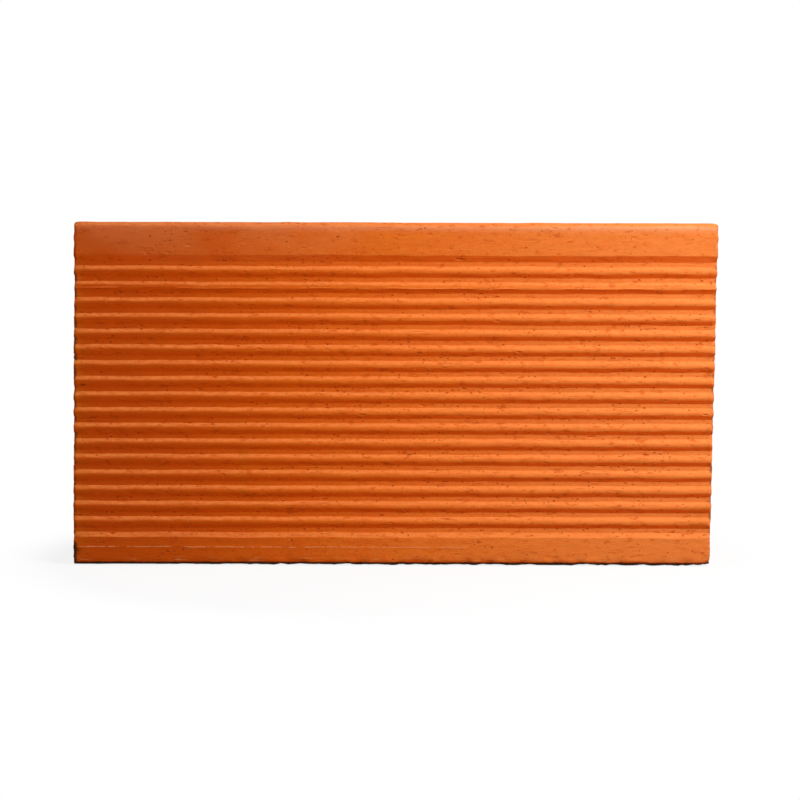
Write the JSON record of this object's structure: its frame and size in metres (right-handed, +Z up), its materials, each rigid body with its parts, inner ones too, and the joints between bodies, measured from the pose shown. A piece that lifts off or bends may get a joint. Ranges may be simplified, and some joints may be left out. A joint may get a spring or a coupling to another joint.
{
  "type": "partition brick",
  "caption": "Hollow fired-clay partition brick with open cells running through its length and grooved large faces that key plaster.",
  "frame": {"origin": "middle of the underside, on the floor that the brick stands on", "axes": "+X along the length, the way the clay was extruded; +Y through the thickness, from the front large face to the back one; +Z up, from the lower bed to the upper bed"},
  "size_m": [0.334, 0.08, 0.178],
  "materials": {
    "fired_clay": "matte"
  },
  "bodies": {
    "root": {"brick": "fired_clay"}
  },
  "joints": []
}
